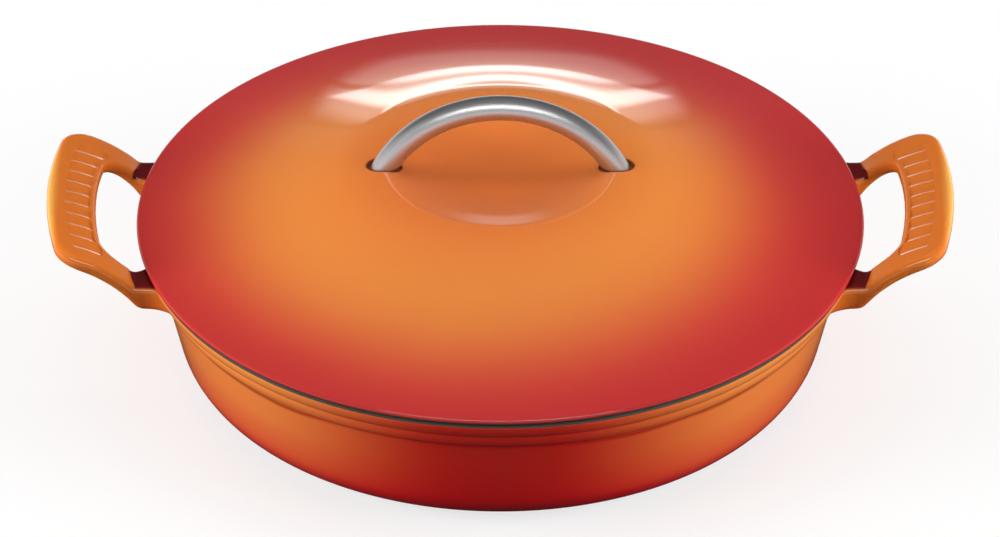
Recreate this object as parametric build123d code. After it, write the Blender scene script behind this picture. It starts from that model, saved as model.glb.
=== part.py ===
from build123d import *
import math
import os

# A braiser: a wide shallow cast iron pan with two loop handles cast in one with it,
# and a bell-shaped cast iron lid that is lifted by an arched steel bar.
# Sizes are in millimetres, +Z is up, and the origin is on the table under the middle
# of the pan. The loop handles lie along X, and -Y is the near side.

# The pan's bowl
rim_height = 64.3             # table to the flat top of the rim
lip_radius = 155.3            # widest part of the lip
rim_edge_round = 1.7          # outer edge of the flat rim
lip_depth = 15.8              # rim down to the crease under the lip
lip_overhang = 8.0            # the lip stands out this far past that crease
upper_roll_depth = 8.3        # rim down to the fine crease between the lip's two rolls
upper_roll_overhang = 3.8     # the lip stands out this far past that one
roll_radius = 8.6             # section of each roll
wall_taper = 13.4             # degrees from the vertical
corner_radius = 21.7          # outside, wall to base
wall_thickness = 4.0
floor_thickness = 4.8
rim_inner_round = 1.0
foot_width = 10.0             # flat ring under the base that the pan stands on
foot_recess = 0.8             # hollow inside that ring
foot_recess_round = 0.5

# The loop handles of the pan
handle_length = 40.2          # from the lip's edge out to the handle's
handle_half_width = 50.9
grip_width = 21.0             # of the bar that the fingers close round
leg_width = 14.3
grip_corner_radius = 12.5
hole_corner_radius = 9.5
hole_root_radius = 12.5       # hole side running into the lip, where the hole has room
leg_flare_radius = 16.0       # leg's outer side running into the lip
leg_merge_inset = 4.8         # both end on a circle this far inside the lip's edge
sweep_past = 6.3              # the upward sweep would be level this far past the handle's edge
sweep_foot_gap = 1.4          # from the lip's edge to where the sweep leaves the rim's level
sweep_foot_slope = 45.3       # degrees, how steeply it leaves
sweep_foot_drop = 0.3         # that point lies this far under the rim
sweep_foot_round = 4.0
leg_heel_round = 6.0          # under the leg, where it turns down into its root
handle_thickness = 6.1
handle_edge_round = 2.6
edge_round_share = 0.45       # most of the handle's thickness that one edge round may take
leg_root_depth = 11.3         # rim down to the underside of the leg where it joins the lip
cove_gap = 7.0                # turned step that keeps the handles this far from the lid
cove_round = 2.2

# The fluted panel on top of each grip
flute_count = 10
flute_pitch = 8.3
flute_depth = 0.65
ridge_width = 0.9             # left between two flutes
panel_inner_margin = 2.4      # plain strip between the hole and the flutes
panel_outer_margin = 8.1      # plain strip between the flutes and the outer edge

# The lid
seat_gap = 0.3                # the two enamelled rims, one on the other
lid_overhang = 1.7            # the lid stands out this far past the lip
lid_edge_depth = 2.1          # widest part of the lid down to its seat
lid_edge_round = 1.5          # upper edge
lid_wall = 4.0
rim_slope = 10.0              # degrees that the lid falls at its rim
shoulder_slope = 17.5         # degrees where the flare meets the almost straight shoulder
steepest_slope = 20.0         # degrees at the turn from crown to shoulder
crest_slope = 2.0             # degrees at the crest round the dish
dish_slope = 16.0             # degrees at the edge of the dish
rim_band = 12.0               # straight part between the flare and the edge
shoulder_radius = 102.0       # where shoulder and flare meet
turn_radius = 71.0            # where crown and shoulder meet
crest_radius = 50.4           # outside of the dish's rounded edge
dish_edge_width = 3.0         # the rounded edge, seen from above
locating_depth = 4.5          # ring under the lid that keeps it on the pan
locating_width = 3.6
lid_play = 1.6                # locating ring to the inside of the pan

# The lid's handle, and the screws that hold it from below
bar_diameter = 10.8
bar_half_span = 49.0          # middle of the bar at the crest
bar_rise = 28.7               # crest to the middle of the bar at its top
bar_end_chamfer = 0.5
well_gap = 0.4                # least room beside the leaning bar in its well
well_depth = 4.0
boss_wall = 2.3               # the boss under a well is this much wider than the well
boss_floor = 5.0              # metal under a well
boss_edge_round = 1.0
screw_diameter = 5.0
screw_length = 12.0           # under the head
screw_head_diameter = 9.5
screw_head_height = 3.2
screw_head_round = 1.2
screw_tip_chamfer = 0.5
socket_width = 3.0            # across the flats
socket_depth = 1.8
washer_diameter = 11.0
washer_thickness = 1.2
hole_clearance = 0.5          # on the diameter, screw to boss and washer
thread_clearance = 0.1        # on the diameter, screw to bar
thread_runout = 1.0           # tapped hole past the screw's end

# Radii and widths that follow from these sizes
lip_root_radius = lip_radius - lip_overhang
upper_roll_root_radius = lip_radius - upper_roll_overhang
leg_merge_radius = lip_radius - leg_merge_inset
handle_reach = lip_radius + handle_length
sweep_run = handle_length + sweep_past - sweep_foot_gap
sweep_radius = sweep_run / math.sin(math.radians(sweep_foot_slope))
grip_inner_radius = handle_reach - grip_width
hole_half_width = handle_half_width - leg_width
panel_outer_radius = handle_reach - panel_outer_margin
lid_radius = lip_radius + lid_overhang
flare_radius = lid_radius - rim_band
cove_radius = lid_radius + cove_gap

overrun = 20.0                # cutters run this far past what they cut

lowest = (Align.CENTER, Align.CENTER, Align.MIN)
highest = (Align.CENTER, Align.CENTER, Align.MAX)


def turned(outline):
    """A solid of revolution about Z from edges drawn as radius and height."""
    return revolve(Plane.XZ * make_face(outline), Axis.Z)


def bowl_outline(thickness, bottom, radius):
    """Wall, corner and bottom of the bowl, inset by the wall's thickness."""
    lean = math.radians(wall_taper)
    crease_height = rim_height - lip_depth
    corner_height = bottom + radius - radius * math.sin(lean)
    wall_radius = lip_root_radius - thickness / math.cos(lean)
    corner_top = wall_radius - (crease_height - corner_height) * math.tan(lean)
    corner_centre = corner_top - radius * math.cos(lean)
    half_turn = (lean + math.pi / 2) / 2
    return {
        "centre": (0, bottom),
        "base": (corner_centre, bottom),
        "corner": (
            corner_centre + radius * math.cos(half_turn),
            bottom + radius - radius * math.sin(half_turn),
        ),
        "wall_foot": (corner_top, corner_height),
        "wall_top": (wall_radius, crease_height),
        "rim": (wall_radius + lip_depth * math.tan(lean), rim_height),
    }


def pan_body():
    """The bowl without its hollow: base, wall and the lip's two rolls."""
    at = bowl_outline(0, 0, corner_radius)
    crease = (upper_roll_root_radius, rim_height - upper_roll_depth)
    rim_side = (lip_radius, rim_height - rim_edge_round)
    rim_top = (lip_radius - rim_edge_round, rim_height)
    return turned([
        Line(at["centre"], at["base"]),
        ThreePointArc(at["base"], at["corner"], at["wall_foot"]),
        Line(at["wall_foot"], at["wall_top"]),
        RadiusArc(at["wall_top"], crease, -roll_radius),
        RadiusArc(crease, rim_side, -roll_radius),
        RadiusArc(rim_side, rim_top, -rim_edge_round),
        Line(rim_top, (0, rim_height)),
        Line((0, rim_height), at["centre"]),
    ])


def pan_hollow():
    """What the bowl holds, up past the rim, with the rim's rounded inner edge."""
    at = bowl_outline(wall_thickness, floor_thickness, corner_radius - wall_thickness)
    mouth = at["rim"][0] + rim_inner_round
    below_rim = rim_height - rim_inner_round
    return turned([
        Line(at["centre"], at["base"]),
        ThreePointArc(at["base"], at["corner"], at["wall_foot"]),
        Line(at["wall_foot"], (at["rim"][0], below_rim)),
        RadiusArc((at["rim"][0], below_rim), (mouth, rim_height), rim_inner_round),
        Line((mouth, rim_height), (mouth, rim_height + overrun)),
        Line((mouth, rim_height + overrun), (0, rim_height + overrun)),
        Line((0, rim_height + overrun), at["centre"]),
    ])


def base_recess():
    """The shallow hollow under the base, inside the ring that the pan stands on."""
    stand_radius = bowl_outline(0, 0, corner_radius)["base"][0]
    hollow = Cylinder(stand_radius - foot_width, foot_recess + overrun, align=highest)
    hollow = fillet(hollow.edges().group_by(Axis.Z)[-1], foot_recess_round)
    return Pos(0, 0, foot_recess) * hollow


def band(outer_radius, half_width):
    """The part of a disc about the pan's middle that lies towards +X within a width."""
    strip = Rectangle(outer_radius, 2 * half_width, align=(Align.MIN, Align.CENTER))
    return Circle(outer_radius) & strip


def hole_plan(margin):
    """The finger hole of a handle, seen from above and grown by a margin."""
    hole = band(grip_inner_radius + margin, hole_half_width + margin)
    far_corners = hole.vertices().group_by(Axis.X)[-1]
    hole = fillet(far_corners, hole_corner_radius + margin)
    return hole - Circle(leg_merge_radius)


def hole_root_room():
    """The round of the hole's inner corners, or the largest that the hole has room for."""
    corner_y = hole_half_width - hole_corner_radius
    corner_x_squared = (grip_inner_radius - hole_corner_radius)**2 - corner_y**2
    room = corner_x_squared - leg_merge_radius**2 + hole_half_width**2
    room = room / (2 * (leg_merge_radius + hole_half_width))
    return min(hole_root_radius, room - rim_edge_round / 2)


def handle_plan():
    """The handle seen from above, with both legs run into the lip."""
    outer = band(handle_reach, handle_half_width)
    outer = fillet(outer.vertices().group_by(Axis.X)[-1], grip_corner_radius)
    outer = outer + Circle(leg_merge_radius)
    join_x = math.sqrt(leg_merge_radius**2 - handle_half_width**2)
    joins = [v for v in outer.vertices() if abs(v.X - join_x) < rim_edge_round]
    outer = fillet(joins, leg_flare_radius)
    hole = hole_plan(0)
    hole = fillet(hole.vertices().group_by(Axis.X)[0], hole_root_room())
    return outer - hole


def flare_reach():
    """How far along Y the legs' flares reach before they meet the lip."""
    share_of_lip = leg_merge_radius / (leg_merge_radius + leg_flare_radius)
    return (handle_half_width + leg_flare_radius) * share_of_lip


def sweep_centre():
    """Middle of the arcs that the handle's faces follow, as distance and height."""
    foot_height = rim_height - sweep_foot_drop
    return (
        handle_reach + sweep_past,
        foot_height - sweep_radius * math.cos(math.radians(sweep_foot_slope)),
    )


def handle_side():
    """The handle seen from the side: level with the rim, then swept up to the grip."""
    centre_x, centre_z = sweep_centre()
    under_radius = sweep_radius - handle_thickness
    bottom = rim_height - leg_root_depth
    inner = math.sqrt(lip_root_radius**2 - flare_reach()**2)
    foot = centre_x - math.sqrt(sweep_radius**2 - (rim_height - centre_z)**2)
    heel = centre_x - math.sqrt(under_radius**2 - (bottom - centre_z)**2)
    top = centre_z + sweep_radius
    under = centre_z + under_radius
    end = centre_x + handle_length
    face = make_face([
        Line((inner, rim_height), (foot, rim_height)),
        RadiusArc((foot, rim_height), (centre_x, top), sweep_radius),
        Line((centre_x, top), (end, top)),
        Line((end, top), (end, under)),
        Line((end, under), (centre_x, under)),
        RadiusArc((centre_x, under), (heel, bottom), -under_radius),
        Line((heel, bottom), (inner, bottom)),
        Line((inner, bottom), (inner, rim_height)),
    ])
    face = fillet(face.vertices().sort_by_distance((foot, rim_height))[:1], sweep_foot_round)
    return fillet(face.vertices().sort_by_distance((heel, bottom))[:1], leg_heel_round)


def long_edges(handle):
    """The upper and lower edges that run all along the handle, inside and outside."""
    found = []
    for edge in handle.edges():
        middle = edge.position_at(0.5)
        upright = abs(edge.tangent_at(0.5).Z) > 0.9
        across = edge.geom_type == GeomType.LINE and abs(edge.tangent_at(0.5).Y) > 0.9
        embedded = math.hypot(middle.X, middle.Y) < leg_merge_radius - rim_edge_round
        if not (upright or across or embedded):
            found.append(edge)
    return found


def cove_cutter():
    """The turned step that clears the lid, with a rounded inner corner."""
    top = rim_height + overrun
    foot = (cove_radius - cove_round, rim_height)
    side = (cove_radius, rim_height + cove_round)
    return turned([
        Line((0, rim_height), foot),
        RadiusArc(foot, side, -cove_round),
        Line(side, (cove_radius, top)),
        Line((cove_radius, top), (0, top)),
        Line((0, top), (0, rim_height)),
    ])


def flute_cutters():
    """One cutter for each flute of the grip, hollow across it and swept up as the grip is."""
    half_flute = (flute_pitch - ridge_width) / 2
    section = (half_flute**2 + flute_depth**2) / (2 * flute_depth)
    centre_x, centre_z = sweep_centre()
    ring = Rot(90, 0, 0) * Torus(sweep_radius - flute_depth + section, section)
    inner_x = math.sqrt(grip_inner_radius**2 - hole_half_width**2)
    panel = band(panel_outer_radius, flute_count * flute_pitch / 2)
    panel = panel - Rectangle(inner_x, 2 * handle_reach, align=(Align.MIN, Align.CENTER))
    panel = panel - hole_plan(panel_inner_margin)
    cutters = []
    for index in range(flute_count):
        place_y = (index - (flute_count - 1) / 2) * flute_pitch
        strip = Pos(0, place_y) * Rectangle(2 * handle_reach, flute_pitch)
        outline = extrude(panel & strip, rim_height + sweep_radius)
        cutters.append(outline & Pos(centre_x, place_y, centre_z) * ring)
    return cutters


def loop_handle():
    """The handle on the +X side: swept up from the lip, rounded all along, fluted on top."""
    plan = extrude(handle_plan(), rim_height + sweep_radius)
    side = extrude(Plane.XZ * handle_side(), flare_reach(), both=True)
    core = Cylinder(lip_root_radius, rim_height + sweep_radius, align=lowest)
    handle = plan & side
    handle = handle - core
    edge_round = min(handle_edge_round, edge_round_share * handle_thickness)
    handle = fillet(long_edges(handle), edge_round)
    return handle - flute_cutters()


def pan():
    """The pan's one casting: bowl, rolled lip and both loop handles."""
    handle = loop_handle()
    casting = pan_body() + handle + handle.mirror(Plane.YZ)
    casting = casting - cove_cutter()
    return casting - pan_hollow() - base_recess()


def lid_stations():
    """Where the lid's upper profile turns, from its middle out: radius, height, slope.

    The slope is in radians, positive where the lid falls outwards."""
    rim = math.radians(rim_slope)
    edge_height = rim_height + seat_gap + lid_edge_depth
    edge_radius = lid_radius - lid_edge_round + lid_edge_round * math.sin(rim)
    stations = [(edge_radius, edge_height + lid_edge_round * math.cos(rim), rim)]
    inner_edge = crest_radius - dish_edge_width
    turns = [
        (flare_radius, rim),
        (shoulder_radius, math.radians(shoulder_slope)),
        (turn_radius, math.radians(steepest_slope)),
        (crest_radius, math.radians(crest_slope)),
        (inner_edge, -math.radians(dish_slope)),
        (0, 0),
    ]
    for radius, slope in turns:
        outer_radius, outer_height, outer_slope = stations[-1]
        mean_slope = (slope + outer_slope) / 2
        height = outer_height + (outer_radius - radius) * math.tan(mean_slope)
        stations.append((radius, height, slope))
    return stations[::-1]


def lid_profile(inset):
    """The lid's upper profile from its middle out to the rim, or a curve inside it."""
    stations = lid_stations()
    edges = []
    for (radius_a, height_a, slope_a), (radius_b, height_b, slope_b) in zip(stations, stations[1:]):
        start = (radius_a - inset * math.sin(slope_a), height_a - inset * math.cos(slope_a))
        end = (radius_b - inset * math.sin(slope_b), height_b - inset * math.cos(slope_b))
        if slope_a == slope_b:
            edges.append(Line(start, end))
        else:
            bend = (radius_b - radius_a) / (math.sin(slope_b) - math.sin(slope_a)) - inset
            edges.append(RadiusArc(start, end, bend))
    return edges


def lid_hollow(reach):
    """The space under the lid's wall, out to a radius."""
    under = lid_profile(lid_wall)
    end = under[-1].position_at(1)
    bottom = rim_height - overrun
    below = turned(under + [
        Line(end, (end.X, bottom)),
        Line((end.X, bottom), (0, bottom)),
        Line((0, bottom), under[0].position_at(0)),
    ])
    return below & Pos(0, 0, bottom) * Cylinder(reach, lid_radius, align=lowest)


def lid_shell():
    """The bell-shaped casting, with its flat seat and the locating ring under it."""
    seat = rim_height + seat_gap
    edge = (lid_radius, seat + lid_edge_depth)
    seat_outer = (lid_radius - lid_edge_depth, seat)
    top = lid_profile(0)
    blank = turned(top + [
        RadiusArc(top[-1].position_at(1), edge, lid_edge_round),
        RadiusArc(edge, seat_outer, lid_edge_depth),
        Line(seat_outer, (0, seat)),
        Line((0, seat), top[0].position_at(0)),
    ])
    inside = bowl_outline(wall_thickness, floor_thickness, corner_radius - wall_thickness)
    ring_drop = locating_depth - seat_gap
    ring_outer = inside["rim"][0] - ring_drop * math.tan(math.radians(wall_taper)) - lid_play
    ring = Pos(0, 0, seat) * Cylinder(ring_outer, locating_depth, align=highest)
    return blank + ring - lid_hollow(ring_outer - locating_width)


def crest_height():
    """Height of the lid's crest, where the bar goes in."""
    return [height for radius, height, slope in lid_stations() if radius == crest_radius][0]


def foot_at(height):
    """Distance of the bar's middle from the lid's axis at a height near its feet."""
    drop = crest_height() + bar_rise - bar_arc_radius() - height
    return math.sqrt(bar_arc_radius()**2 - drop**2)


def bar_arc_radius():
    """Radius of the arc that the bar's middle follows."""
    return (bar_half_span**2 + bar_rise**2) / (2 * bar_rise)


def well_floor():
    """Height of the flat floor on which an end of the bar stands."""
    return crest_height() - well_depth


def well_centre():
    """Distance of a well from the lid's axis: that of the bar's middle, half way down it."""
    return foot_at(well_floor() + well_depth / 2)


def well_radius():
    """Room for the leaning bar all the way from the well's floor up to the crest."""
    lean = math.acos(bar_half_span / bar_arc_radius())
    half_section = bar_diameter / 2 / math.cos(lean)
    return well_centre() - bar_half_span + half_section + well_gap


def thread_depth():
    """How far a screw reaches up into the bar."""
    return screw_length - washer_thickness - boss_floor


def screw_radius():
    """Distance of a screw from the lid's axis, midway along the leaning thread."""
    return foot_at(well_floor() + thread_depth() / 2)


def both_sides(shape):
    """The same piece at both feet of the bar."""
    return [shape, shape.mirror(Plane.YZ)]


def lid():
    """The lid's casting, with a sunk well over a boss for each end of the bar."""
    casting = lid_shell()
    floor = well_floor()
    boss = Cylinder(well_radius() + boss_wall, boss_floor, align=lowest)
    boss = fillet(boss.edges().group_by(Axis.Z)[0], boss_edge_round)
    well = Cylinder(well_radius(), overrun, align=lowest)
    hole = Cylinder((screw_diameter + hole_clearance) / 2, overrun, align=highest)
    for side in (-1, 1):
        casting = casting + Pos(side * screw_radius(), 0, floor - boss_floor) * boss
    for side in (-1, 1):
        casting = casting - Pos(side * well_centre(), 0, floor) * well
        casting = casting - Pos(side * screw_radius(), 0, floor + well_depth) * hole
    return casting


def lid_handle():
    """The arched bar, cut level at both ends and tapped from below."""
    radius = bar_arc_radius()
    floor = well_floor()
    centre_z = crest_height() + bar_rise - radius
    ring = Pos(0, 0, centre_z) * Rot(90, 0, 0) * Torus(radius, bar_diameter / 2)
    above = Box(2 * lid_radius, 2 * bar_diameter, lid_radius, align=lowest)
    bar = ring & Pos(0, 0, floor) * above
    bar = chamfer(bar.edges().group_by(Axis.Z)[0], bar_end_chamfer)
    depth = thread_depth() + thread_runout
    thread = Cylinder((screw_diameter + thread_clearance) / 2, depth, align=lowest)
    for side in (-1, 1):
        bar = bar - Pos(side * screw_radius(), 0, floor) * thread
    return bar


def screw():
    """A pan head screw pointing up, its origin under the head where the washer lies."""
    head = Cylinder(screw_head_diameter / 2, screw_head_height, align=highest)
    head = fillet(head.edges().group_by(Axis.Z)[0], screw_head_round)
    shank = Cylinder(screw_diameter / 2, screw_length, align=lowest)
    shank = chamfer(shank.edges().group_by(Axis.Z)[-1], screw_tip_chamfer)
    socket = extrude(RegularPolygon(socket_width / 2, 6, major_radius=False), socket_depth)
    return head + shank - Pos(0, 0, -screw_head_height) * socket


def lid_handle_screws():
    """Both screws, driven up through the bosses into the bar."""
    seat = well_floor() - boss_floor - washer_thickness
    return Compound(children=both_sides(Pos(screw_radius(), 0, seat) * screw()))


def lid_handle_washers():
    """Both washers, each flat against its boss."""
    seat = well_floor() - boss_floor - washer_thickness
    disc = Cylinder(washer_diameter / 2, washer_thickness, align=lowest)
    bore = Cylinder((screw_diameter + hole_clearance) / 2, washer_thickness, align=lowest)
    return Compound(children=both_sides(Pos(screw_radius(), 0, seat) * (disc - bore)))


os.makedirs("parts", exist_ok=True)
for piece in (pan, lid, lid_handle, lid_handle_screws, lid_handle_washers):
    export_step(piece(), f"parts/{piece.__name__}.step")
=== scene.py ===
import math

import bmesh
import bpy
from bpy.props import FloatProperty, FloatVectorProperty, IntProperty, PointerProperty
from mathutils import Matrix, Vector
from mathutils.bvhtree import BVHTree


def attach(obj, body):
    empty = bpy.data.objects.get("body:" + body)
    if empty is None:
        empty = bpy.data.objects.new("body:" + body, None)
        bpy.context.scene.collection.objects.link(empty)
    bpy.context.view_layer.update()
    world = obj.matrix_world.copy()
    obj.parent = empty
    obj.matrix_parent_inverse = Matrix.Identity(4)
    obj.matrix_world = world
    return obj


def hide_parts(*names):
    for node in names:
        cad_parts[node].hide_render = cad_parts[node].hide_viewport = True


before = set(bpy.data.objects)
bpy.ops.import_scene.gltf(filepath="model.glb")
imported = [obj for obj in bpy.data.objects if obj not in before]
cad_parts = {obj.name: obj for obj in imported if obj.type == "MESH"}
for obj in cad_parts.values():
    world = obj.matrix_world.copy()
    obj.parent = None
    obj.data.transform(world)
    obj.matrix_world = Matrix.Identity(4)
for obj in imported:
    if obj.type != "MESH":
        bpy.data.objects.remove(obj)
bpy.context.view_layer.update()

bl_info = {
    "name": "Braiser",
    "version": (1, 0, 0),
    "blender": (4, 5, 0),
    "location": "3D View > Sidebar > Braiser",
    "description": "Builds an enamelled cast iron braiser over its packed frame",
    "category": "Add Mesh",
}

MM = 0.001
TAU = 2 * math.pi
AXIS_Y = (0, 1, 0)
AXIS_Z = (0, 0, 1)
LEVEL = (1, 1, 0)  # keeps the level part of a vector
WHITE = (1, 1, 1, 1)
NEAR = 0.01 * MM  # measures closer than this are the same
WELD = 0.002 * MM  # corners closer than this become one
GRID = 0.004 * MM  # step that corners of two meshes are matched on
SHARP = math.radians(40)  # edges that bend by this much or more stay sharp
OUTER, RIM, INNER, BASE = range(4)  # the order of a casting's materials

# Steps of the lid's arcs, from the middle of the dish out to the flare
LID_ARC_STEPS = (3, 16, 6, 10, 16, 14, 26)


def length(default, name, description):
    """A length property given in millimetres and kept in metres."""
    return FloatProperty(
        name=name, description=description, default=default * MM, min=0,
        subtype="DISTANCE", unit="LENGTH", precision=5,
    )


def slope(default, name, description):
    """An angle property given in degrees."""
    return FloatProperty(
        name=name, description=description, default=math.radians(default),
        subtype="ANGLE", unit="ROTATION",
    )


def linear(channel):
    """A display value from 0 to 255 as scene-linear light."""
    value = channel / 255
    return value / 12.92 if value <= 0.04045 else ((value + 0.055) / 1.055) ** 2.4


def colour(display, name, description):
    """A colour property given as display values from 0 to 255."""
    return FloatVectorProperty(
        name=name, description=description, default=[linear(c) for c in display],
        size=3, min=0, max=1, subtype="COLOR",
    )


class BraiserSizes(bpy.types.PropertyGroup):
    """Sizes of the pieces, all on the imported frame"""
    rim_height: length(64.3, "Rim height", "Table to the flat top of the rim")
    lip_radius: length(155.3, "Lip radius", "Widest part of the lip")
    rim_edge_round: length(1.7, "Rim edge round", "Outer edge of the flat rim")
    lip_depth: length(15.8, "Lip depth", "Rim down to the crease under the lip")
    lip_overhang: length(8.0, "Lip overhang", "How far the lip stands out past that crease")
    upper_roll_depth: length(8.3, "Upper roll", "Rim down to the crease between the two rolls")
    upper_roll_overhang: length(3.8, "Upper roll overhang", "How far the lip passes that crease")
    roll_radius: length(8.6, "Roll radius", "Section of each roll of the lip")
    crease_round: length(0.5, "Crease round", "Enamel that fills the two creases")
    wall_taper: slope(13.4, "Wall taper", "Lean of the wall from the vertical")
    corner_radius: length(21.7, "Corner radius", "Outside, wall to base")
    wall_thickness: length(4.0, "Wall thickness", "Thickness of the bowl's wall")
    floor_thickness: length(4.8, "Floor thickness", "Thickness of the bowl's floor")
    rim_inner_round: length(1.0, "Rim inner round", "Inner edge of the flat rim")
    foot_width: length(10.0, "Foot width", "Flat ring that the pan stands on")
    foot_recess: length(0.8, "Foot recess", "Hollow inside that ring")
    foot_recess_round: length(0.5, "Foot recess round", "Inner corner of that hollow")
    handle_bite: length(0.3, "Handle bite", "How far the handles' faces reach into the lip")
    cove_reach: length(7.1, "Cove reach", "Lid's edge to the step in the top of each leg")
    seat_gap: length(0.3, "Seat gap", "Rim of the pan to the seat of the lid")
    lid_radius: length(157.0, "Lid radius", "Widest part of the lid")
    lid_edge_depth: length(2.1, "Lid edge", "Widest part of the lid down to its seat")
    lid_edge_round: length(1.5, "Lid edge round", "Round of the lid's upper edge")
    lid_wall: length(4.0, "Lid wall", "Thickness of the lid")
    flare_radius: length(145.0, "Flare radius", "Where the flare meets the straight band")
    shoulder_radius: length(102.0, "Shoulder radius", "Where shoulder and flare meet")
    turn_radius: length(71.0, "Turn radius", "Where crown and shoulder meet")
    crest_radius: length(50.4, "Crest radius", "Outside of the dish's rounded edge")
    dish_edge_width: length(3.0, "Dish edge", "Width of the dish's rounded edge")
    rim_slope: slope(10, "Rim slope", "How steeply the lid falls at its rim")
    shoulder_slope: slope(17.5, "Shoulder slope", "Where the flare meets the shoulder")
    steepest_slope: slope(20, "Steepest slope", "At the turn from crown to shoulder")
    crest_slope: slope(2, "Crest slope", "At the crest round the dish")
    dish_slope: slope(15.6, "Dish slope", "At the edge of the dish")
    dish_foot_slope: slope(15.5, "Dish foot slope", "At the foot of the dish's wall")
    dish_floor_slope: slope(0.05, "Dish floor slope", "At the edge of the dish's floor")
    dish_wall_foot: length(36.0, "Dish wall foot", "Where the dish's wall starts to curve in")
    dish_floor_radius: length(10.4, "Dish floor", "Radius of the level middle of the dish")
    locating_depth: length(4.5, "Locating ring", "Depth of the ring under the lid")
    locating_width: length(3.6, "Locating ring width", "Width of the ring under the lid")
    locating_radius: length(144.35, "Locating ring radius", "Outside of that ring")
    well_centre: length(50.07, "Well centre", "Each well from the lid's axis")
    well_radius: length(7.66, "Well radius", "Half length of each well")
    well_half_width: length(5.95, "Well half width", "Half width of each well")
    well_depth: length(4.0, "Well depth", "Crest down to a well's floor")
    well_mouth: length(0.5, "Well mouth", "Round of a well's mouth")
    boss_radius: length(9.96, "Boss radius", "Radius of the boss under each well")
    boss_floor: length(5.0, "Boss floor", "Metal under each well")
    boss_edge_round: length(1.0, "Boss edge round", "Lower edge of each boss")
    bore_radius: length(2.75, "Bore radius", "Hole for each screw")
    screw_centre: length(49.6, "Screw centre", "Each screw from the lid's axis")
    bar_diameter: length(10.8, "Bar diameter", "Section of the lid's bar")
    bar_half_span: length(49.0, "Bar half span", "Middle of the bar at the crest")
    bar_rise: length(28.7, "Bar rise", "Crest to the middle of the bar at its top")
    bar_end_chamfer: length(0.5, "Bar end chamfer", "Edge of each end of the bar")
    segments: IntProperty(
        name="Segments", description="Steps round the turned pieces", default=256, min=32)


class BraiserColours(bpy.types.PropertyGroup):
    """Colours of the enamel and the steel"""
    lid_middle: colour((226, 116, 52), "Lid middle", "Enamel in the dish and at the crest")
    lid_bright: colour((229, 137, 60), "Lid bright ring", "Palest enamel, on the shoulder")
    lid_red: colour((203, 68, 50), "Lid red", "Enamel where the flare begins to redden")
    lid_rim: colour((188, 44, 46), "Lid rim", "Enamel along the lid's edge")
    pan_lip: colour((238, 142, 66), "Lip", "Enamel of the rolled lip")
    pan_wall: colour((238, 132, 63), "Wall", "Enamel of the upper wall")
    pan_low: colour((215, 40, 44), "Low wall", "Enamel near the base")
    pan_foot: colour((172, 0, 34), "Foot", "Enamel at the base")
    # Painted shade: the dark band in the crease under the lip stands in for the shadow there
    pan_crease: colour((168, 60, 16), "Crease", "Enamel gathered in the crease under the lip")
    # Painted shade: a redder, darker colour mixed into the middle of the front and back, where the
    # pan stands in shade
    pan_middle: colour((228, 4, 26), "Front and back", "Redder middle of the front and the back")
    handle_top: colour((223, 118, 40), "Handle", "Enamel on top of the loop handles")
    # Painted shade: the handles' lower faces are reddened by height, where they stand in shade
    handle_side: colour((184, 52, 20), "Handle underside", "Enamel low on the loop handles")
    # Painted highlight: a paler band along each outer edge, where the side lamps strike
    handle_edge: colour((240, 172, 78), "Handle edge", "Paler enamel along each outer edge")
    # Painted shade: deep red on the faces of each cove under the lid's edge, standing in for the
    # shadow there
    cove: colour((112, 2, 4), "Cove", "Enamel gathered where each leg meets the lip")
    rim: colour((62, 60, 50), "Bare rim", "Matte dark enamel where pan and lid meet")
    inside: colour((222, 208, 180), "Inside", "Pale enamel inside the pan and under the lid")
    underside: colour((40, 34, 32), "Underside", "Dark enamel under the base")
    bar: colour((203, 203, 205), "Bar", "Satin steel of the lid's bar")
    fasteners: colour((188, 188, 188), "Fasteners", "Steel of the screws and washers")


def sizes():
    """The sizes that the pieces are built from."""
    return bpy.context.scene.braiser_sizes


def colours():
    """The colours that the finishes are made from."""
    return bpy.context.scene.braiser_colours


def blend(a, b, share):
    """A colour between two others."""
    return tuple(x + (y - x) * share for x, y in zip(a, b))


# Drawing and turning


class Outline:
    """A profile in the XZ plane, drawn on from its tip with lines and arcs."""

    def __init__(self, radius, height):
        self.bm = bmesh.new()
        self.tip = self.bm.verts.new((radius, 0, height))

    def line(self, radius, height, steps=1):
        start = self.tip.co.copy()
        end = Vector((radius, 0, height))
        for step in range(steps):
            self.tip = bmesh.ops.extrude_vert_indiv(self.bm, verts=[self.tip])["verts"][0]
            self.tip.co = start.lerp(end, (step + 1) / steps)

    def arc(self, radius, height, bend, steps):
        """An arc to a point. With a positive bend it bulges to the left of its travel."""
        chord = Vector((radius, 0, height)) - self.tip.co
        half = chord.length / 2
        side = math.copysign(1, bend)
        right = Vector((chord.z, 0, -chord.x)).normalized()
        rise = math.sqrt(max(bend * bend - half * half, 0))
        made = bmesh.ops.spin(
            self.bm, geom=[self.tip], cent=self.tip.co + chord / 2 + right * (side * rise),
            axis=AXIS_Y, dvec=(0, 0, 0), steps=steps,
            angle=side * 2 * math.asin(min(half / abs(bend), 1)),
        )["geom_last"]
        self.tip = [part for part in made if isinstance(part, bmesh.types.BMVert)][0]

    def turned(self):
        """The outline spun round the Z axis into a closed shell."""
        bm = self.bm
        bmesh.ops.spin(
            bm, geom=bm.verts[:] + bm.edges[:], cent=(0, 0, 0), axis=AXIS_Z, dvec=(0, 0, 0),
            angle=TAU, steps=sizes().segments, use_merge=True,
        )
        bmesh.ops.remove_doubles(bm, verts=bm.verts, dist=WELD)
        bmesh.ops.recalc_face_normals(bm, faces=bm.faces)
        bm.normal_update()
        return bm


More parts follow.
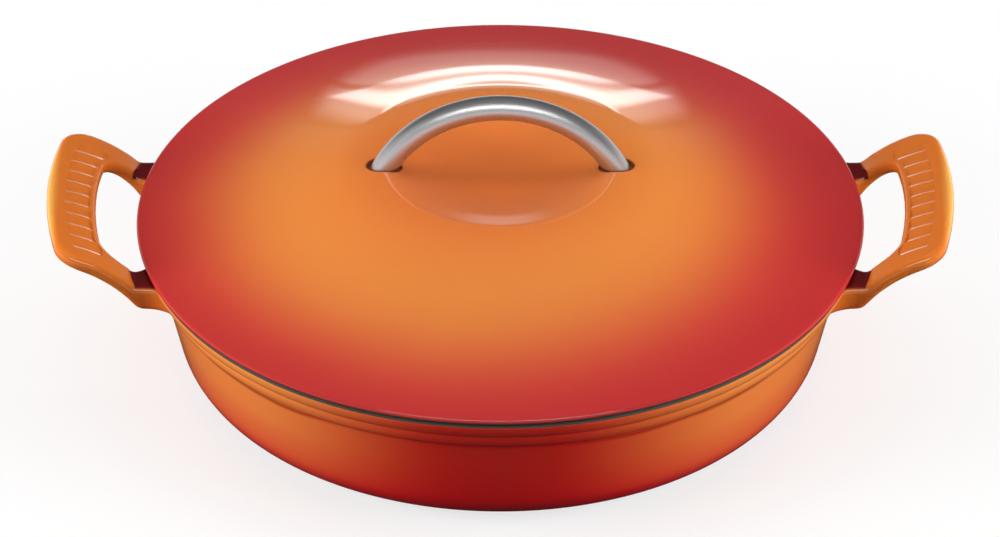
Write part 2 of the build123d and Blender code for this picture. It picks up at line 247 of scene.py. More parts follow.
def open_block(bm, centre_x, reach, upward):
    """Opens one side of a shell round a point of the X axis and returns the hole's edges."""
    least_rise = 0.3
    spread = math.asin(reach / abs(centre_x))
    block = set()
    for face in bm.faces:
        place = face.calc_center_median()
        turn = abs(math.atan2(place.y, math.copysign(place.x, place.x * centre_x)))
        rise = face.normal.z if upward else -face.normal.z
        off = abs(math.hypot(place.x, place.y) - abs(centre_x))
        if rise > least_rise and turn < spread and off < reach:
            block.add(face)
    rim = {
        edge for face in block for edge in face.edges
        if any(other not in block for other in edge.link_faces)
    }
    bmesh.ops.delete(bm, geom=list(block), context="FACES")
    return [edge for edge in rim if edge.is_valid]


def step_in(bm, edges, place):
    """Extrudes a loop of edges, moves its new vertices by place() and returns the new loop."""
    made = bmesh.ops.extrude_edge_only(bm, edges=edges)["geom"]
    loop = [
        part for part in made
        if isinstance(part, bmesh.types.BMEdge) and len(part.link_faces) == 1
    ]
    for vert in {vert for edge in loop for vert in edge.verts}:
        vert.co = place(vert.co.copy())
    return loop


def finished(name, bm, body, materials):
    """Makes a smooth object of a mesh, with its sharp edges kept, and puts it on its body."""
    bm.normal_update()
    for face in bm.faces:
        face.smooth = True
    for edge in bm.edges:
        edge.smooth = edge.calc_face_angle(0) < SHARP
    mesh = bpy.data.meshes.new(name)
    bm.to_mesh(mesh)
    bm.free()
    for material in materials:
        mesh.materials.append(material)
    piece = bpy.data.objects.new(name, mesh)
    bpy.context.scene.collection.objects.link(piece)
    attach(piece, body)
    return piece


# The lid


def lid_stations():
    """Where the lid's upper profile turns, from its middle out: radius, height, slope."""
    s = sizes()
    rim = s.rim_slope
    edge_height = s.rim_height + s.seat_gap + s.lid_edge_depth
    stations = [(
        s.lid_radius - s.lid_edge_round * (1 - math.sin(rim)),
        edge_height + s.lid_edge_round * math.cos(rim), rim,
    )]
    for radius, fall in (
        (s.flare_radius, rim),
        (s.shoulder_radius, s.shoulder_slope),
        (s.turn_radius, s.steepest_slope),
        (s.crest_radius, s.crest_slope),
        (s.crest_radius - s.dish_edge_width, -s.dish_slope),
        (s.dish_wall_foot, -s.dish_foot_slope),
        (s.dish_floor_radius, -s.dish_floor_slope),
        (0, 0),
    ):
        outer_radius, outer_height, outer_fall = stations[-1]
        height = outer_height + (outer_radius - radius) * math.tan((fall + outer_fall) / 2)
        stations.append((radius, height, fall))
    return stations[::-1]


def lid_bend(a, b):
    """Radius of the lid's arc between two stations."""
    return (b[0] - a[0]) / (math.sin(b[2]) - math.sin(a[2]))


def lid_inset(station, inset):
    """A station's point on a face inside the upper one by the inset."""
    radius, height, fall = station
    return radius - inset * math.sin(fall), height - inset * math.cos(fall)


def lid_height(radius, inset=0.0):
    """Height of the lid's upper face at a radius, or of a face inside it by the inset."""
    stations = lid_stations()
    for a, b in zip(stations, stations[1:-1]):
        if radius <= lid_inset(b, inset)[0] or b is stations[-2]:
            bend = lid_bend(a, b)
            sideways = radius - a[0] + bend * math.sin(a[2])
            lift = math.sqrt((bend - inset) ** 2 - sideways ** 2)
            return a[1] - bend * math.cos(a[2]) + math.copysign(lift, bend)


def crest_height():
    """Height of the crest round the dish, where the bar goes in."""
    return [height for _, height, fall in lid_stations() if fall == sizes().crest_slope][0]


def lid_shell():
    """The lid's closed shell: dish, crown, shoulder, flare and rim, and the locating ring below."""
    s = sizes()
    stations = lid_stations()
    arcs = list(zip(stations, stations[1:-1], LID_ARC_STEPS))
    outline = Outline(*stations[0][:2])
    for a, b, steps in arcs:
        outline.arc(*b[:2], lid_bend(a, b), steps)
    outline.line(*stations[-1][:2], 6)
    seat = s.rim_height + s.seat_gap
    outline.arc(s.lid_radius, seat + s.lid_edge_depth, s.lid_edge_round, 8)
    outline.arc(s.lid_radius - s.lid_edge_depth, seat, s.lid_edge_depth, 8)
    soft = s.lid_edge_round / 3
    foot = seat - s.locating_depth
    inner = s.locating_radius - s.locating_width
    outline.line(s.locating_radius, seat, 3)
    outline.line(s.locating_radius, foot + soft, 2)
    outline.arc(s.locating_radius - soft, foot, soft, 3)
    outline.line(inner + soft, foot)
    outline.arc(inner, foot + soft, soft, 3)
    outline.line(inner, lid_height(inner, s.lid_wall), 3)
    for a, b, steps in reversed(arcs):
        outline.arc(*lid_inset(a, s.lid_wall), s.lid_wall - lid_bend(a, b), steps)
    return outline.turned()


def around(centre_x, radius, height, narrow=0.0):
    """A place for step_in: on an oval round a point of the X axis, at a height or on a face."""
    def place(point):
        turn = math.atan2(point.y, point.x - centre_x)
        x = centre_x + radius * math.cos(turn)
        y = (radius - narrow) * math.sin(turn)
        return Vector((x, y, height(math.hypot(x, y)) if callable(height) else height))
    return place


def between(centre_x, radius, share, height, narrow=0.0):
    """A place for step_in: part of the way from where a vertex is to an oval, on a face."""
    def place(point):
        target = around(centre_x, radius, 0.0, narrow)(point)
        x = point.x + (target.x - point.x) * share
        y = point.y + (target.y - point.y) * share
        return Vector((x, y, height(math.hypot(x, y))))
    return place


def lowered(height, drop):
    """A face's height at each radius, less a drop."""
    return lambda radius: height(radius) - drop


def rounding(radius, turns):
    """How far points along a rounded edge are from its two sides, at some turns in degrees."""
    for turn in turns:
        angle = math.radians(turn)
        yield radius * (1 - math.sin(angle)), radius * (1 - math.cos(angle))


def sink_well(bm, side):
    """Sinks an oval well in the crest, sets a boss under it and opens the bore between them."""
    s = sizes()
    margin = 0.9 * MM
    well_x = side * s.well_centre
    screw_x = side * s.screw_centre
    mouth = s.well_radius + s.well_mouth
    narrow = s.well_radius - s.well_half_width
    root = s.boss_radius + s.boss_edge_round
    floor = crest_height() - s.well_depth
    bottom = floor - s.boss_floor

    def under(radius):
        return lid_height(radius, s.lid_wall)

    edges = open_block(bm, well_x, mouth + margin, upward=True)
    for share in (0.25, 0.33, 0.5, 1.0):
        edges = step_in(bm, edges, between(well_x, mouth, share, lid_height, narrow))
    for out, drop in rounding(s.well_mouth, (30, 60, 90)):
        face = lowered(lid_height, drop)
        edges = step_in(bm, edges, around(well_x, s.well_radius + out, face, narrow))
    edges = step_in(bm, edges, around(well_x, s.well_radius, floor + s.well_mouth, narrow))
    edges = step_in(bm, edges, around(well_x, s.well_radius - s.well_mouth, floor, narrow))
    upper = step_in(bm, edges, around(screw_x, s.bore_radius, floor))

    edges = open_block(bm, screw_x, root + margin, upward=False)
    for share in (0.33, 0.5, 1.0):
        edges = step_in(bm, edges, between(screw_x, root, share, under))
    for out, drop in rounding(s.boss_edge_round, (30, 60, 90)):
        edges = step_in(bm, edges, around(screw_x, s.boss_radius + out, lowered(under, drop)))
    for rise, inward in rounding(s.boss_edge_round, (0, 30, 60, 90)):
        edges = step_in(bm, edges, around(screw_x, s.boss_radius - inward, bottom + rise))
    lower = step_in(bm, edges, around(screw_x, s.bore_radius, bottom))
    bmesh.ops.bridge_loops(bm, edges=upper + lower)


class BRAISER_OT_lid(bpy.types.Operator):
    """Turns the lid's casting, with its sunk wells and its bosses"""
    bl_idname = "braiser.lid"
    bl_label = "Lid"

    def execute(self, context):
        s = sizes()
        bm = lid_shell()
        for side in (-1, 1):
            sink_well(bm, side)
        bmesh.ops.recalc_face_normals(bm, faces=bm.faces)
        bm.normal_update()
        dark_share = 0.85  # of the lid's edge, from its seat up
        underside_rise = 0.2  # the normals of the underside rise less than this
        skin = 1.5 * MM
        slack = 0.1 * MM
        dark_top = s.rim_height + s.seat_gap + s.lid_edge_depth * dark_share
        ring_middle = s.locating_radius - s.locating_width / 2
        for face in bm.faces:
            place = face.calc_center_median()
            radius = math.hypot(place.x, place.y)
            inward = face.normal.z < underside_rise and radius < s.locating_radius
            if radius > ring_middle and place.z < dark_top:
                face.material_index = RIM
            elif inward and place.z < lid_height(radius) - skin:
                face.material_index = INNER
        mouth = s.well_radius + s.well_mouth
        well_floor = crest_height() - s.well_depth
        for side in (-1, 1):
            for face in bm.faces:
                place = face.calc_center_median()
                near = math.hypot(place.x - side * s.well_centre, place.y)
                if near < mouth and place.z > well_floor - slack:
                    face.material_index = OUTER
        materials = [lid_enamel(), rim_enamel(), sand_enamel()]
        piece = finished("lid_casting", bm, "lid", materials)
        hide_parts("lid")
        return {"FINISHED"}


# The pan


def bowl_points(thickness, bottom, radius):
    """Wall, corner and bottom of the bowl, inset by the wall's thickness."""
    s = sizes()
    lean = s.wall_taper
    crease = s.rim_height - s.lip_depth
    corner_height = bottom + radius - radius * math.sin(lean)
    wall = s.lip_radius - s.lip_overhang - thickness / math.cos(lean)
    corner_top = wall - (crease - corner_height) * math.tan(lean)
    return {
        "base": (corner_top - radius * math.cos(lean), bottom),
        "wall_foot": (corner_top, corner_height),
        "wall_top": (wall, crease),
        "rim": (wall + s.lip_depth * math.tan(lean), s.rim_height),
    }


def bowl_shell():
    """The bowl's closed shell: recessed base, wall, rolled lip, flat rim and hollow."""
    s = sizes()
    outside = bowl_points(0, 0, s.corner_radius)
    inner_corner = s.corner_radius - s.wall_thickness
    inside = bowl_points(s.wall_thickness, s.floor_thickness, inner_corner)
    recess = outside["base"][0] - s.foot_width
    outline = Outline(0, s.foot_recess)
    outline.line(recess - s.foot_recess_round, s.foot_recess, 6)
    outline.arc(recess, s.foot_recess - s.foot_recess_round, s.foot_recess_round, 4)
    outline.line(recess, 0)
    outline.line(*outside["base"], 2)
    outline.arc(*outside["wall_foot"], -s.corner_radius, 18)
    outline.line(*outside["wall_top"], 8)
    upper_crease = s.lip_radius - s.upper_roll_overhang, s.rim_height - s.upper_roll_depth
    outline.arc(*upper_crease, -s.roll_radius, 16)
    outline.arc(s.lip_radius, s.rim_height - s.rim_edge_round, -s.roll_radius, 14)
    outline.arc(s.lip_radius - s.rim_edge_round, s.rim_height, -s.rim_edge_round, 8)
    outline.line(inside["rim"][0] + s.rim_inner_round, s.rim_height, 3)
    outline.arc(inside["rim"][0], s.rim_height - s.rim_inner_round, -s.rim_inner_round, 5)
    outline.line(*inside["wall_foot"], 8)
    outline.arc(*inside["base"], inner_corner, 14)
    outline.line(0, s.floor_thickness, 10)
    return outline.turned()


def fill_creases(bm):
    """Rounds the two creases of the lip, where enamel gathers."""
    s = sizes()
    wall_top = s.lip_radius - s.lip_overhang

    def at_depth(edge, depth):
        return all(abs(s.rim_height - depth - vert.co.z) < NEAR for vert in edge.verts)

    creases = [
        edge for edge in bm.edges
        if (at_depth(edge, s.lip_depth) or at_depth(edge, s.upper_roll_depth))
        and all(math.hypot(*vert.co.xy) > wall_top - NEAR for vert in edge.verts)
    ]
    bmesh.ops.bevel(
        bm, geom=creases, offset=s.crease_round, offset_type="OFFSET", affect="EDGES",
        segments=3, profile=0.5, material=-1, clamp_overlap=True,
    )


class BRAISER_OT_bowl(bpy.types.Operator):
    """Turns the pan's bowl with its rolled lip"""
    bl_idname = "braiser.bowl"
    bl_label = "Bowl"

    def execute(self, context):
        s = sizes()
        bm = bowl_shell()
        fill_creases(bm)
        bm.normal_update()
        outside = bowl_points(0, 0, s.corner_radius)
        inner_corner = s.corner_radius - s.wall_thickness
        inside = bowl_points(s.wall_thickness, s.floor_thickness, inner_corner)
        dark_depth = 1.3 * MM
        base_margin = 2 * MM
        level_rise = 0.99  # the normal of a level face rises more than this
        dark_from = s.rim_height - dark_depth
        base_reach = outside["base"][0] + base_margin
        mouth = inside["rim"][0] + s.rim_inner_round
        for face in bm.faces:
            place, normal = face.calc_center_median(), face.normal
            radius = math.hypot(place.x, place.y)
            up_or_high = normal.z > 0 or place.z > s.rim_height / 2
            inward = place.x * normal.x + place.y * normal.y < 0 or normal.z > level_rise
            if place.z > dark_from:
                face.material_index = RIM
            elif place.z < s.foot_recess + NEAR and radius < base_reach:
                face.material_index = BASE
            elif radius < mouth and up_or_high and inward:
                face.material_index = INNER
        materials = [pan_enamel(), rim_enamel(), sand_enamel(), base_enamel()]
        piece = finished("pan_bowl", bm, "pan", materials)
        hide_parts("pan")
        return {"FINISHED"}


def cut_away(bm, cutter):
    """One closed mesh less another, as a new mesh. Both are used up."""
    parts = []
    for name, shape in (("kept", bm), ("cutter", cutter)):
        mesh = bpy.data.meshes.new(name)
        shape.to_mesh(mesh)
        shape.free()
        parts.append(bpy.data.objects.new(name, mesh))
        bpy.context.scene.collection.objects.link(parts[-1])
    cut = parts[0].modifiers.new("cut", "BOOLEAN")
    cut.operation = "DIFFERENCE"
    cut.solver = "EXACT"
    cut.object = parts[1]
    left = bmesh.new()
    left.from_object(parts[0], bpy.context.evaluated_depsgraph_get())
    for part in parts:
        mesh = part.data
        bpy.data.objects.remove(part)
        bpy.data.meshes.remove(mesh)
    return left


def handles_alone():
    """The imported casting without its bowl: only the faces of the two loop handles."""
    s = sizes()
    bowl = bowl_shell()
    surface = BVHTree.FromBMesh(bowl)
    bowl.free()
    bm = bmesh.new()
    bm.from_mesh(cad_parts["pan"].data)
    bmesh.ops.remove_doubles(bm, verts=bm.verts, dist=WELD)
    inside = s.lip_radius - s.rim_edge_round - s.handle_bite
    disc = bmesh.new()
    bmesh.ops.create_cone(
        disc, cap_ends=True, segments=s.segments, radius1=inside, radius2=inside,
        depth=2 * s.handle_bite, matrix=Matrix.Translation((0, 0, s.rim_height)),
    )
    bm = cut_away(bm, disc)
    close = 0.04 * MM
    loose = 4 * close
    cut_floor = s.rim_height - s.handle_bite
    near = {vert: surface.find_nearest(vert.co)[3] < close for vert in bm.verts}
    on_cut = {
        vert: math.hypot(*vert.co.xy) < inside + close and vert.co.z > cut_floor - close
        for vert in bm.verts
    }
    bowl_faces = [
        face for face in bm.faces
        if all(on_cut[vert] for vert in face.verts)
        or all(near[vert] for vert in face.verts)
        and surface.find_nearest(face.calc_center_median())[3] < loose
    ]
    bmesh.ops.delete(bm, geom=bowl_faces, context="FACES")
    return bm


def keep_largest(bm):
    """Deletes all but the largest patch of joined faces."""
    left = set(bm.faces)
    patches = []
    while left:
        waiting = [left.pop()]
        patch = set(waiting)
        while waiting:
            for edge in waiting.pop().edges:
                for face in edge.link_faces:
                    if face in left:
                        left.remove(face)
                        patch.add(face)
                        waiting.append(face)
        patches.append(patch)
    largest = max(patches, key=len)
    bmesh.ops.delete(bm, geom=[face for face in bm.faces if face not in largest], context="FACES")


def corners(mesh):
    """Each corner of a mesh: its place on the matching grid, its face's normal and its own."""
    for face in mesh.polygons:
        for corner in face.loop_indices:
            place = mesh.vertices[mesh.loops[corner].vertex_index].co
            key = tuple(round(value / GRID) for value in place)
            yield key, face.normal.copy(), mesh.corner_normals[corner].vector.copy()


def packed_normals():
    """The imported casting's face and corner normals, by the place of each corner."""
    kept = {}
    for key, face_normal, normal in corners(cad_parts["pan"].data):
        kept.setdefault(key, []).append((face_normal, normal))
    return kept


def give_normals(mesh, kept):
    """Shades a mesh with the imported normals, and with its own where it was cut."""
    least_match = 0.9
    normals = []
    for key, face_normal, normal in corners(mesh):
        options = kept.get(key, [])
        best = max(options, key=lambda pair: pair[0].dot(face_normal), default=None)
        close = best is not None and best[0].dot(face_normal) > least_match
        normals.append(best[1] if close else normal)
    mesh.normals_split_custom_set(normals)


class BRAISER_OT_loop_handles(bpy.types.Operator):
    """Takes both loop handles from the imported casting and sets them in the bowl's lip"""
    bl_idname = "braiser.loop_handles"
    bl_label = "Loop handles"

    def execute(self, context):
        s = sizes()
        both = handles_alone()
        kept = packed_normals()
        rim_from = s.rim_height - 0.05 * MM

        def sunk(point):
            inward = Vector((-point.x, -point.y, 0)).normalized() * s.handle_bite
            on_rim = point.z > rim_from
            return point + inward - Vector((0, 0, s.handle_bite / 2 if on_rim else 0))

        for name, side in (("pan_handle_right", 1), ("pan_handle_left", -1)):
            bm = both.copy()
            far = [face for face in bm.faces if face.calc_center_median().x * side < 0]
            bmesh.ops.delete(bm, geom=far, context="FACES")
            keep_largest(bm)
            border = [edge for edge in bm.edges if edge.is_boundary]
            inner = step_in(bm, border, sunk)
            bmesh.ops.holes_fill(bm, edges=inner, sides=0)
            large = [face for face in bm.faces if len(face.verts) > 4]
            bmesh.ops.triangulate(bm, faces=large)
            piece = finished(name, bm, "pan", [handle_enamel()])
            give_normals(piece.data, kept)
            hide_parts("pan")
        both.free()
        return {"FINISHED"}


# The bar and its fasteners


class BRAISER_OT_bar(bpy.types.Operator):
    """Bends the steel bar and cuts its ends level"""
    bl_idname = "braiser.bar"
    bl_label = "Bar"

    def execute(self, context):
        s = sizes()
        bend = (s.bar_half_span ** 2 + s.bar_rise ** 2) / (2 * s.bar_rise)
        centre = crest_height() + s.bar_rise - bend
        floor = crest_height() - s.well_depth
        reach = math.acos((floor - s.bar_diameter - centre) / bend)
        bm = bmesh.new()
        bmesh.ops.create_circle(bm, segments=48, radius=s.bar_diameter / 2)
        for turn, rise in ((math.pi / 2, bend), (-reach, centre)):
            turned = Matrix.Rotation(turn, 3, "Y")
            bmesh.ops.rotate(bm, verts=bm.verts, cent=(0, 0, 0), matrix=turned)
            bmesh.ops.translate(bm, verts=bm.verts, vec=(0, 0, rise))
        bmesh.ops.spin(
            bm, geom=bm.verts[:] + bm.edges[:], cent=(0, 0, centre), axis=AXIS_Y, dvec=(0, 0, 0),
            angle=2 * reach, steps=120,
        )
        bmesh.ops.bisect_plane(
            bm, geom=bm.verts[:] + bm.edges[:] + bm.faces[:], plane_co=(0, 0, floor),
            plane_no=AXIS_Z, clear_inner=True,
        )
        ends = [edge for edge in bm.edges if edge.is_boundary]
        bmesh.ops.holes_fill(bm, edges=ends, sides=0)
        bmesh.ops.recalc_face_normals(bm, faces=bm.faces)
        bmesh.ops.bevel(
            bm, geom=ends, offset=s.bar_end_chamfer, offset_type="OFFSET", affect="EDGES",
            segments=2, profile=0.5, material=-1,
        )
        piece = finished("lid_bar", bm, "lid", [satin_steel()])
        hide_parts("lid_handle")
        return {"FINISHED"}


class BRAISER_OT_fasteners(bpy.types.Operator):
    """Gives the screws and washers under the lid their finish"""
    bl_idname = "braiser.fasteners"
    bl_label = "Fasteners"

    def execute(self, context):
        for node in ("lid_handle_screws", "lid_handle_washers"):
            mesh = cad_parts[node].data
            mesh.materials.clear()
            mesh.materials.append(fastener_steel())
        return {"FINISHED"}


# Materials


def shared(make):
    """Makes a material once and gives the same one to every piece that asks for it."""
    def get():
        name = make.__name__ + "_coat"
        return bpy.data.materials.get(name) or make()
    return get


class Nodes:
    """A material's or world's node tree, with short calls to add and join nodes."""

    def __init__(self, name, world=None):
        self.owner = world or bpy.data.materials.new(name + "_coat")
        self.owner.use_nodes = True
        self.tree = self.owner.node_tree
        self.tree.nodes.clear()
        self.output = self.add("ShaderNodeOutputWorld" if world else "ShaderNodeOutputMaterial")

    def join(self, source, target, index):
        self.tree.links.new(source.outputs[0], target.inputs[index])

    def add(self, kind, inputs=None, **settings):
        node = self.tree.nodes.new(kind)
        for key, value in settings.items():
            setattr(node, key, value)
        for key, value in (inputs or {}).items():
            if isinstance(value, bpy.types.NodeSocket):
                self.tree.links.new(value, node.inputs[key])
            else:
                node.inputs[key].default_value = value
        return node

    def place(self):
        """Where each point is on its piece."""
        return self.add("ShaderNodeTexCoord").outputs["Object"]

    def part(self, vector, axis):
        return self.add("ShaderNodeSeparateXYZ", {0: vector}).outputs[axis]

    def math(self, operation, a, b=0.0):
        return self.add("ShaderNodeMath", {0: a, 1: b}, operation=operation).outputs[0]

    def scaled(self, value, factor, base):
        """A value times a factor, plus a base."""
        inputs = {0: value, 1: factor, 2: base}
        return self.add("ShaderNodeMath", inputs, operation="MULTIPLY_ADD").outputs[0]

    def vector(self, operation, a, b):
        return self.add("ShaderNodeVectorMath", {0: a, 1: b}, operation=operation).outputs[0]

    def length(self, vector):
        node = self.add("ShaderNodeVectorMath", {0: vector}, operation="LENGTH")
        return node.outputs["Value"]

    def noise(self, place, scale, detail):
        inputs = {"Vector": place, "Scale": scale, "Detail": detail}
        return self.add("ShaderNodeTexNoise", inputs).outputs[0]

    def fade(self, value, start, end, low=0.0, high=1.0, kind="SMOOTHSTEP"):
        """A number that goes from low to high while a value goes from start to end."""
        return self.add("ShaderNodeMapRange", {
            "Value": value, "From Min": start, "From Max": end, "To Min": low, "To Max": high,
        }, interpolation_type=kind).outputs[0]

    def tinted(self, share, base, tint):
        """A colour that turns to another by a share."""
        inputs = {0: share, 6: base, 7: (*tint, 1)}
        return self.add("ShaderNodeMix", inputs, data_type="RGBA").outputs[2]

    def either(self, share, a, b):
        """One shader or another, by a share."""
        mix = self.add("ShaderNodeMixShader", {0: share})
        self.join(a, mix, 1)
        self.join(b, mix, 2)
        return mix

    def surface(self, grain, strength, depth, inputs):
        """Finishes a material: its surface with a fine bump."""
        settings = {"Height": grain, "Strength": strength, "Distance": depth}
        bump = self.add("ShaderNodeBump", settings).outputs[0]
        shader = self.add("ShaderNodeBsdfPrincipled", {**inputs, "Normal": bump})
        self.join(shader, self.output, 0)
        return self.owner

    def ramp(self, factor, stops, interpolation="LINEAR"):
        node = self.add("ShaderNodeValToRGB", {0: factor})
        node.color_ramp.interpolation = interpolation
        elements = node.color_ramp.elements
        while len(elements) < len(stops):
            elements.new(0.5)
        for element, (position, value) in zip(elements, stops):
            element.position = position
        for element, (position, value) in zip(elements, stops):
            element.color = (*value, 1)
        return node.outputs[0]


def greys(stops, reach=1.0, full=1.0):
    """Stops of a grey ramp, their places as shares of a reach and their levels of a full one."""
    return [(place / reach, (level / full,) * 3) for place, level in stops]


def enamel(name, centre, stops, reach, by_height=False, interpolation="B_SPLINE", middle=None):
    """Glossy enamel that changes with distance from the middle, or with height.

    A middle colour, painted shade, takes over in the middle of the front and the back.
    """
    cloud_reach = 8 * MM
    nodes = Nodes(name)
    place = nodes.place()
    moved = nodes.add("ShaderNodeMapping", {"Vector": place, "Location": centre}).outputs[0]
    if by_height:
        distance = nodes.part(moved, 2)
    else:
        distance = nodes.length(nodes.vector("MULTIPLY", moved, LEVEL))
    cloud = nodes.math("SUBTRACT", nodes.noise(place, scale=14.0, detail=3.0), 0.5)
    drift = nodes.math("MULTIPLY", cloud, cloud_reach)
    share = nodes.math("DIVIDE", nodes.math("ADD", distance, drift), reach)
    tint = nodes.ramp(share, stops, interpolation)
    # painted shade: the middle colour reddens the middle of the front and the back
    if middle:
        off = nodes.math("ABSOLUTE", nodes.part(place, 0))
        near = nodes.fade(off, start=0.02, end=0.11, low=0.9, high=0.0)
        tint = nodes.tinted(near, tint, middle)
    return coat(nodes, place, tint)


def coat(nodes, place, tint):
    """Finishes an enamel: fine flecks in its colour, faint waves and a high gloss."""
    speck = nodes.math("SUBTRACT", nodes.noise(place, scale=900.0, detail=2.0), 0.5)
    tint = nodes.vector("MULTIPLY", tint, nodes.scaled(speck, factor=0.05, base=1.0))
    wave = nodes.noise(place, scale=160.0, detail=2.0)
    gloss = nodes.scaled(wave, factor=0.02, base=0.04)
    return nodes.surface(wave, strength=0.006, depth=0.001, inputs={
        "Base Color": tint, "Roughness": gloss, "IOR": 1.5,
    })


@shared
def lid_enamel():
    """Enamel of the lid: orange crown, red rim."""
    c = colours()
    stops = [
        (0.0, c.lid_middle),
        (0.25, c.lid_middle),
        (0.48, c.lid_bright),
        (0.60, blend(c.lid_bright, c.lid_red, 0.20)),
        (0.70, blend(c.lid_bright, c.lid_red, 0.58)),
        (0.80, c.lid_red),
        (0.90, blend(c.lid_red, c.lid_rim, 0.75)),
        (1.0, c.lid_rim),
    ]
    return enamel("lid_enamel", (0.009, 0.006, 0), stops, reach=sizes().lid_radius)


@shared
def pan_enamel():
    """Enamel of the bowl: orange lip and dark red base, with painted shade in the crease and a
    redder painted shade in the middle of the front and the back.
    """
    c = colours()
    stops = [
        (0.0, c.pan_foot),
        (0.13, c.pan_low),
        (0.30, blend(c.pan_low, c.pan_wall, 0.5)),
        (0.55, blend(c.pan_low, c.pan_wall, 0.95)),
        (0.72, c.pan_wall),
        # painted shade: dark band at the height of the crease under the lip
        (0.752, c.pan_crease),
        (0.785, blend(c.pan_wall, c.pan_lip, 0.2)),
        (1.0, c.pan_lip),
    ]
    return enamel(
        "pan_enamel", (0, 0, 0), stops, reach=sizes().rim_height, by_height=True,
        interpolation="LINEAR", middle=c.pan_middle)


@shared
def handle_enamel():
    """Enamel of the loop handles: painted shade that reddens them below, a painted highlight along
    each outer edge, painted shade in the coves.
    """
    s, c = sizes(), colours()
    ramp_height = 0.09
    nodes = Nodes("handle_enamel")
    place = nodes.place()
    height = nodes.part(place, 2)
    # painted shade: redder low on the handles, by height
    low = nodes.ramp(nodes.math("DIVIDE", height, ramp_height), [
        (0.50, c.handle_side),
        (0.62, blend(c.handle_side, c.handle_top, 0.6)),
        (0.70, c.handle_top),
        (1.0, c.handle_top),
    ])
    across = nodes.math("ABSOLUTE", nodes.part(place, 0))
    # painted highlight: paler colour along the outer edge of each handle
    tint = nodes.tinted(nodes.fade(across, start=0.1895, end=0.1945), low, c.handle_edge)
    # painted shade: deep red on the cove faces below the lid's edge, near rim level
    radius = nodes.length(nodes.vector("MULTIPLY", place, LEVEL))
    step = s.lid_radius + s.cove_reach
    soft = 0.3 * MM
    within = nodes.fade(radius, step - soft, step + soft, low=1.0, high=0.0, kind="LINEAR")
    above = nodes.fade(
        height, start=s.rim_height - 0.9 * MM, end=s.rim_height - 0.2 * MM, kind="LINEAR")
    tint = nodes.tinted(nodes.math("MULTIPLY", within, above), tint, c.cove)
    return coat(nodes, place, tint)


def plain_enamel(name, tint, roughness):
    """A plain enamel with a fine grain."""
    nodes = Nodes(name)
    grain = nodes.noise(nodes.place(), scale=700.0, detail=3.0)
    mixed = nodes.vector("MULTIPLY", tint, nodes.scaled(grain, factor=0.16, base=0.92))
    rough = nodes.scaled(grain, factor=0.1, base=roughness)
    return nodes.surface(grain, strength=0.05, depth=0.0005, inputs={
        "Base Color": mixed, "Roughness": rough, "IOR": 1.5,
    })


@shared
def rim_enamel():
    """Matte dark enamel where pan and lid meet."""
    return plain_enamel("rim_enamel", colours().rim, roughness=0.5)


@shared
def sand_enamel():
    """Pale enamel inside the pan and the lid."""
    return plain_enamel("sand_enamel", colours().inside, roughness=0.18)


@shared
def base_enamel():
    """Dark satin enamel under the base."""
    return plain_enamel("base_enamel", colours().underside, roughness=0.38)


def steel(name, tint, roughness):
    """Satin steel with a fine even grain."""
    nodes = Nodes(name)
    grain = nodes.noise(nodes.place(), scale=2500.0, detail=2.0)
    rough = nodes.scaled(grain, factor=0.10, base=roughness)
    return nodes.surface(grain, strength=0.06, depth=0.0002, inputs={
        "Base Color": (*tint, 1), "Metallic": 1.0, "Roughness": rough,
    })


@shared
def satin_steel():
    """Finish of the lid's bar."""
    return steel("satin_steel", colours().bar, roughness=0.34)


@shared
def fastener_steel():
    """Finish of the screws and washers."""
    return steel("fastener_steel", colours().fasteners, roughness=0.30)


# Stage


def soft_lamp(name, place, width, height, radiance, glossy=True, diffuse=True):
    """A soft rectangular lamp that faces the object, of a given brightness where it is seen."""
    target = (0, 0, 0.05)
    lamp = bpy.data.lights.new(name, "AREA")
    lamp.shape = "RECTANGLE"
    lamp.size = width
    lamp.size_y = height
    lamp.energy = radiance * math.pi * width * height
    light = bpy.data.objects.new(name, lamp)
    light.location = place
    light.rotation_euler = (Vector(target) - Vector(place)).to_track_quat("-Z", "Y").to_euler()
    light.visible_camera = False
    light.visible_glossy = glossy
    light.visible_diffuse = diffuse
    bpy.context.scene.collection.objects.link(light)


def studio_world():
    """A pale room: white in view, bright at the horizon in reflections, soft fill elsewhere."""
    world = bpy.data.worlds.new("studio")
    bpy.context.scene.world = world
    nodes = Nodes("studio", world)
    way = nodes.add("ShaderNodeTexCoord").outputs["Generated"]
    glow = nodes.ramp(nodes.part(way, 2), greys((
        (0.0, 1.0), (0.02, 0.97), (0.06, 0.62), (0.15, 0.27), (0.30, 0.14), (0.55, 0.10),
        (1.0, 0.22),
    )))
    rays = nodes.add("ShaderNodeLightPath")
    fill = nodes.add("ShaderNodeBackground", {"Color": WHITE, "Strength": 0.13})
    room = nodes.add("ShaderNodeBackground", {"Color": glow, "Strength": 1.0})
    white = nodes.add("ShaderNodeBackground", {"Color": WHITE, "Strength": 1.0})
    unseen = nodes.either(rays.outputs["Is Glossy Ray"], fill, room)
    nodes.join(nodes.either(rays.outputs["Is Camera Ray"], unseen, white), nodes.output, 0)


